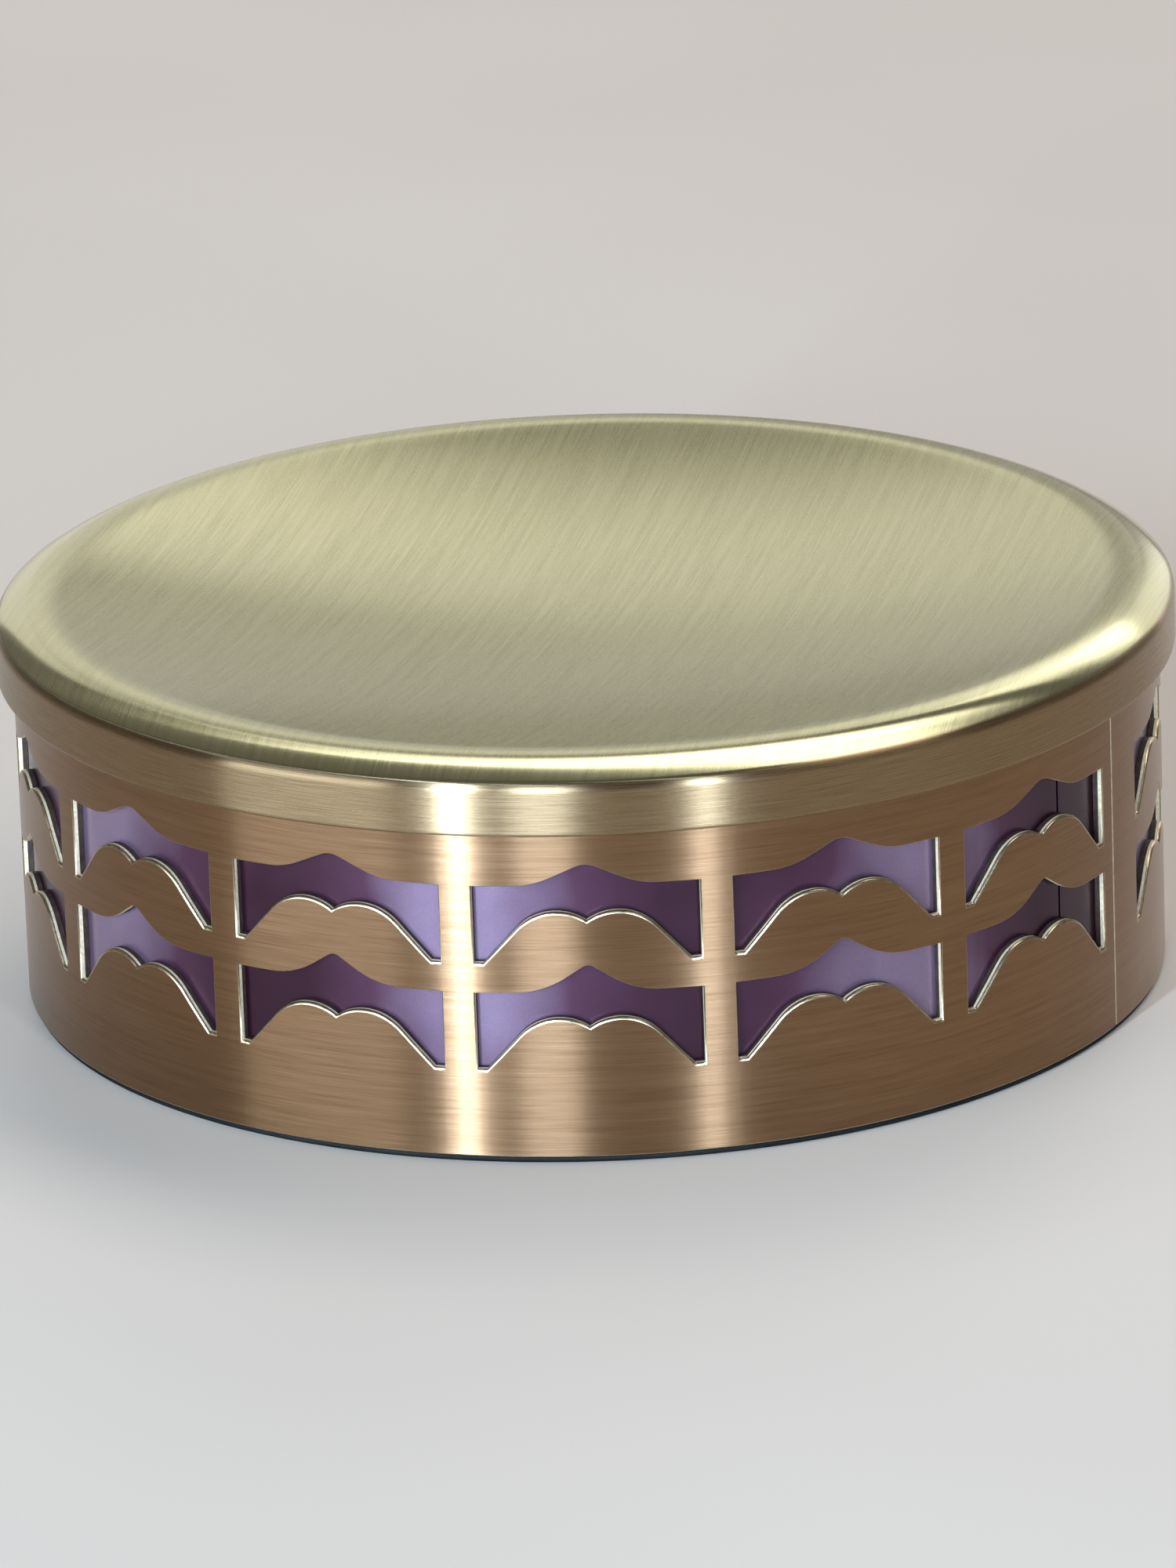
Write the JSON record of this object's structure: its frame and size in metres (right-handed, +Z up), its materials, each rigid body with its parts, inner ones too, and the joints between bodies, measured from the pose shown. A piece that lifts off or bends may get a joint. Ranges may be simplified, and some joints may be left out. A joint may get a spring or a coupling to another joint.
{
  "type": "soap dish",
  "caption": "Round brass-finish soap dish: a dished lift-off tray on a pierced, lined band with a rubber foot.",
  "frame": {"origin": "centre of the foot's underside, on the table", "axes": "+Z up, along the axis of the round dish and its tray; -Y is the front, and the band's butt seam is at the front right, 62.9 degrees from -Y towards +X"},
  "size_m": [0.1316, 0.1316, 0.0456],
  "materials": {
    "tray_brass": "straight-brushed, clear lacquered",
    "band_brass": "brushed round the band, bright cut edges",
    "lilac_liner": "satin pearl",
    "steel_sheet": "plain rolled",
    "seat_rubber": "matt",
    "foot_rubber": "matt"
  },
  "bodies": {
    "dish_body": {"seat_ring": "seat_rubber", "pierced_band": "band_brass", "liner_sleeve": "lilac_liner", "inner_wall": "steel_sheet", "base_plate": "steel_sheet", "foot_ring": "foot_rubber"},
    "tray": {"soap_tray": "tray_brass"}
  },
  "joints": [
    {"name": "tray_lift", "type": "slide", "parent": "dish_body", "child": "tray", "axis": [0, 0, 1], "range_m": [0, 0.06]}
  ]
}
